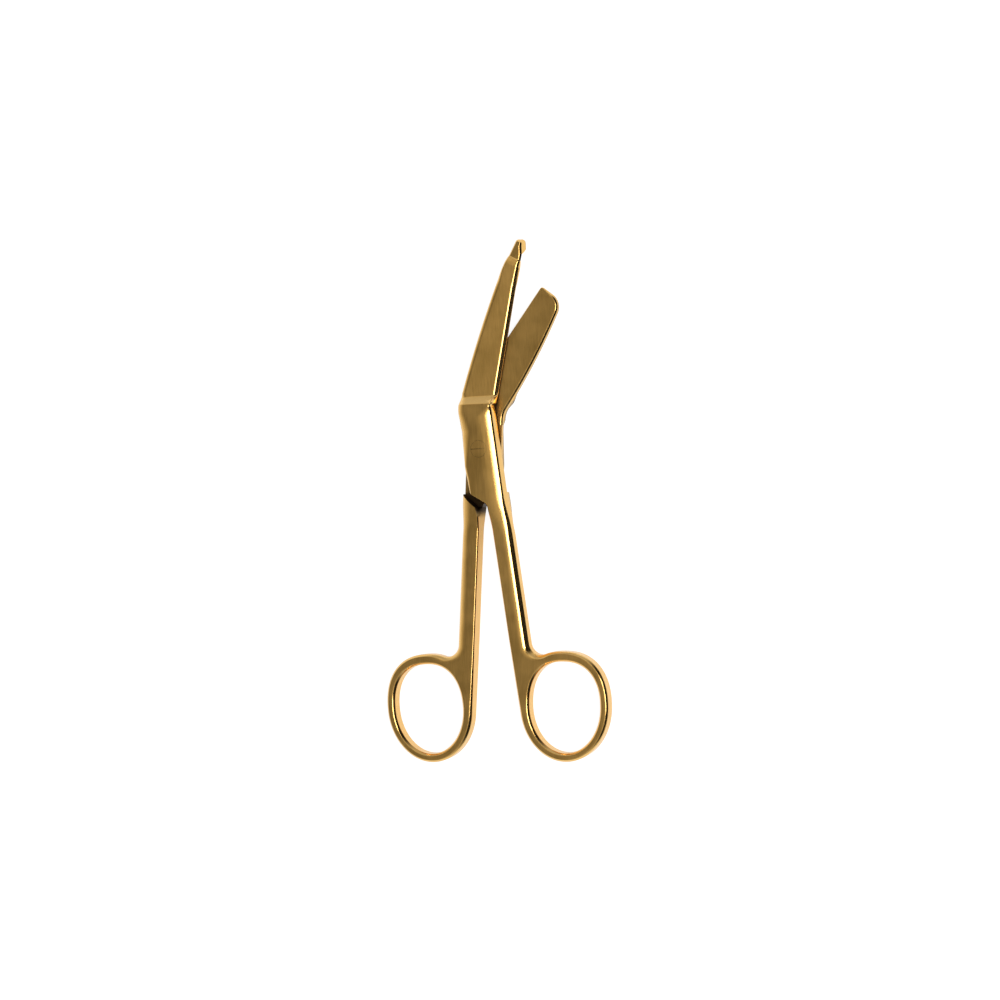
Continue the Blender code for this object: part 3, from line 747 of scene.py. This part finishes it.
def long_blade():
    """The blade with the probe, from the joint's outer side round to the crotch."""
    spine_base = Vector((-JOINT_HALF, SPINE_START))
    right = [
        ((JOINT_HALF, BLEND_START), 0, both(FRONT_JOINT)),
        ((JOINT_HALF, FRONT_SIDE_END), 0, both(FRONT_JOINT)),
        ((JOINT_HALF, HEEL_FOOT), HEEL_RADIUS, HEEL_EDGE),
        (heel, HEEL_RADIUS, HEEL_EDGE),
        (heel + lean_direction(LONG_EDGE_LEAN) * BEVEL_RUN, 0, LONG_BEVEL),
        (probe_foot, PROBE_FOOT_RADIUS, LONG_BEVEL),
        (probe_bulge, BULGE_RADIUS, (PROBE_SIDE, PROBE_BELOW)),
        (probe_bulge.lerp(probe_tip, BULGE_END_SHARE), 0, (PROBE_SIDE, PROBE_BELOW)),
        (probe_tip, PROBE_TIP_RADIUS, (PROBE_NOSE, PROBE_BELOW)),
        (probe_tip_left, PROBE_TIP_RADIUS, PROBE_EDGE),
        (probe_back, PROBE_BACK_RADIUS, PROBE_EDGE),
    ]
    curve = [(point, 0, LONG_BACK) for point in reversed(arc(spine_base, SPINE_LEAN, probe_back))]
    base = [(spine_base, SPINE_RADIUS, both(rolled(2.6, 1.9)))]
    return rounded(right + curve + base + plate_lower_side())


PROBE_FACE = 0.8
LIP_ROLL = 1.7
LIP_WALL = 0.6
ROLL_SHARE = 0.6
ROLL_POWER = 1.7
lip_point = Vector((16.75, 48.3))
lip_direction = lean_direction(33.5)


def probe_height(u, v):
    """Height of the front half's outer face, which rolls over the lip down to the probe."""
    height = face_height(u, v, heel, LONG_EDGE_LEAN)
    past = (Vector((u, v)) - lip_point).dot(lip_direction)
    roll = ROLL_SHARE * ramp(past, -LIP_ROLL, 0) ** ROLL_POWER
    share = roll + (1 - ROLL_SHARE) * blend(past, 0, LIP_WALL)
    return height + (PROBE_FACE - height) * share


def probe_depth(v):
    """Depth of the front half's inner side, full at the probe."""
    return PROBE_UNDER if v > STEP_END else handle_height(v)


front_place = PIVOT @ Matrix.Rotation(math.radians(OPENING / 2), 4, "Z")
front_gold = gold_plate("probe half gold", -OPENING / 2)
front_mesh = forged_slab([handle_outline((FRONT_SHANK, SOFT_CORNER)) + long_blade(), finger_hole()])
BELOW_LIP = 43.0
lip_rows = [BELOW_LIP] + [
    (lip_point + lip_direction * past, lip_direction)
    for past in rows_between(-LIP_ROLL, 0, 8) + rows_between(0, LIP_WALL, 6)[1:]
]
shape_heights(front_mesh, handle_rows + step_rows + lip_rows, probe_height, probe_depth)
probe_half = piece("probe_half", front_mesh, front_place, front_gold)
uncut = bpy.data.objects.new("uncut front half", probe_half.data.copy())
bpy.context.scene.collection.objects.link(uncut)
machine(probe_half, lap_cutter(front_place, front_gold))
CONE = 0.6818  # the countersink's radius grows by this for each millimetre up
COUNTERSINK = 2.3
countersink = [
    (0, FAR),
    (COUNTERSINK + CONE * (FAR - PLATE_HEIGHT), FAR),
    (COUNTERSINK, PLATE_HEIGHT),
    (BORE, PLATE_HEIGHT - (COUNTERSINK - BORE) / CONE),
    (BORE, -FAR),
    (0, -FAR),
]
machine(probe_half, turned("bore", countersink, front_place, front_gold))
smooth_shading(probe_half)
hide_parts("probe_blade_half")
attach(probe_half, "front_half")


# Pivot screw: a countersunk steel screw with one fine slot, threaded into the rear half.
# Its head is ground to the joint's crowned face once the halves run freely, and plated with them.
SCREW_GAP = 0.05
SCREW_SHANK = 1.5
SCREW_SPARE = 1.0
SLOT_SIZE = (10, 0.24, 0.2)
screw_gold = gold_plate("screw gold", 0.0)
head = COUNTERSINK - SCREW_GAP
screw_top = PLATE_HEIGHT + SCREW_SPARE
screw_profile = [
    (0, screw_top),
    (head + CONE * SCREW_SPARE, screw_top),
    (SCREW_SHANK, PLATE_HEIGHT - (head - SCREW_SHANK) / CONE),
    (SCREW_SHANK, -screw_top),
    (0, -screw_top),
]
screw = turned("screw", screw_profile, PIVOT, screw_gold)
machine(screw, uncut, "INTERSECT")
slot_mesh = bmesh.new()
bmesh.ops.create_cube(slot_mesh, size=1)
bmesh.ops.scale(slot_mesh, vec=SLOT_SIZE, verts=slot_mesh.verts)
bmesh.ops.translate(slot_mesh, vec=(0, 0, PLATE_HEIGHT), verts=slot_mesh.verts)
machine(screw, piece("slot", slot_mesh, PIVOT, screw_gold))
smooth_shading(screw)
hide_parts("pivot_screw")
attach(screw, "rear_half")


# Table: a plain pale sheet that the scissors lie on, with their soft shadow.
# It is lifted to white for the camera, and less so in what the gold reflects.
TABLE_HALF = 1500
PALE = 0.82
CAMERA_LIFT = 0.6
REFLECTED_LIFT = 0.3
table_mesh = bmesh.new()
bmesh.ops.create_grid(table_mesh, x_segments=1, y_segments=1, size=TABLE_HALF)
table_finish, table_start, table_shader = new_finish("pale table")
table_shader.inputs["Base Color"].default_value = (PALE, PALE, PALE, 1)
table_shader.inputs["Roughness"].default_value = 0.9
table_shader.inputs["Specular IOR Level"].default_value = 0.1
seen_ray = table_start.node("ShaderNodeLightPath", output="Is Camera Ray")
glossy_ray = table_start.node("ShaderNodeLightPath", output="Is Glossy Ray")
clear_ray = table_start.node("ShaderNodeLightPath", output="Is Transmission Ray")
whitened = table_start.math("MAXIMUM", seen_ray, clear_ray) * CAMERA_LIFT + glossy_ray * REFLECTED_LIFT
white = table_start.node("ShaderNodeEmission", {}, {"Color": (1, 1, 1, 1), "Strength": 1.5})
paper = Socket(table_start.tree, table_shader.outputs[0])
lifted = table_start.node("ShaderNodeMixShader", {}, {0: whitened, 1: paper, 2: white})
table_output = table_start.tree.nodes["Material Output"]
table_start.tree.links.new(lifted.output, table_output.inputs["Surface"])
table = piece("table", table_mesh, Matrix.Identity(4), table_finish)


# Studio: a soft lamp above on the right, a ceiling that is bright straight above and at the far end,
# and walls that go from bright on the left to dark on the right. The camera itself sees plain white.
DIFFUSE_LEVEL = 0.45
world = bpy.data.worlds.new("studio")
bpy.context.scene.world = world
world.use_nodes = True
sky = Socket(world.node_tree)
background = world.node_tree.nodes["Background"]
direction = sky.node("ShaderNodeTexCoord", output="Generated")
to_right = direction.part("X")
overhead = direction.part("Z").fade(0.35, 0.72)
ceiling = to_right.fade(-0.42, 0.05, low=0.18, high=0.58) - to_right.fade(0.12, 0.36, high=0.42)
low_wall = to_right.fade(-0.9, -0.1, low=0.75, high=0.5) - to_right.fade(0.25, 0.75, high=0.48)
far_light = direction.part("Y").fade(0.5, 0.8, high=0.45) * overhead
room = ceiling * overhead + low_wall * (1 - overhead) + far_light
camera_ray = sky.node("ShaderNodeLightPath", output="Is Camera Ray")
diffuse_ray = sky.node("ShaderNodeLightPath", output="Is Diffuse Ray")
plain = sky.math("MAXIMUM", camera_ray, diffuse_ray)
level = sky.math("MAXIMUM", camera_ray, diffuse_ray * DIFFUSE_LEVEL) + room * (1 - plain)
world.node_tree.links.new(level.output, background.inputs["Strength"])
background.inputs["Color"].default_value = (1, 1, 1, 1)

LAMP_ACROSS = 0.52
LAMP_ALONG = 0.56
LAMP_WATTS = 5.6
LAMP_SIDE = 44
LAMP_DISTANCE = 0.9
lamp_data = bpy.data.lights.new("soft lamp", "AREA")
lamp_data.shape = "RECTANGLE"
lamp_data.size = LAMP_ACROSS
lamp_data.size_y = LAMP_ALONG
lamp_data.energy = LAMP_WATTS
lamp = bpy.data.objects.new("soft lamp", lamp_data)
lamp.matrix_world = (
    Matrix.Rotation(math.radians(LAMP_SIDE), 4, "Y")
    @ Matrix.Translation((0, 0, LAMP_DISTANCE))
)
bpy.context.scene.collection.objects.link(lamp)


# Camera: above the table, 23 degrees to the right of straight down, in metres.
CAMERA_TARGET = (0.003917, -0.014021, 0.0036)
CAMERA_DISTANCE = 0.6212
CAMERA_ROLL = 3.419
CAMERA_SIDE = 22.829
CAMERA_TILT = 2.101
camera_data = bpy.data.cameras.new("camera")
camera_data.sensor_width = 36.0
camera_data.lens = 83.35
camera = bpy.data.objects.new("camera", camera_data)
camera.matrix_world = (
    Matrix.Translation(CAMERA_TARGET)
    @ Matrix.Rotation(-math.radians(CAMERA_ROLL), 4, "Z")
    @ Matrix.Rotation(math.radians(CAMERA_SIDE), 4, "Y")
    @ Matrix.Rotation(-math.radians(CAMERA_TILT), 4, "X")
    @ Matrix.Translation((0, 0, CAMERA_DISTANCE))
)
bpy.context.scene.collection.objects.link(camera)
bpy.context.scene.camera = camera
bpy.context.scene.view_settings.view_transform = "Standard"
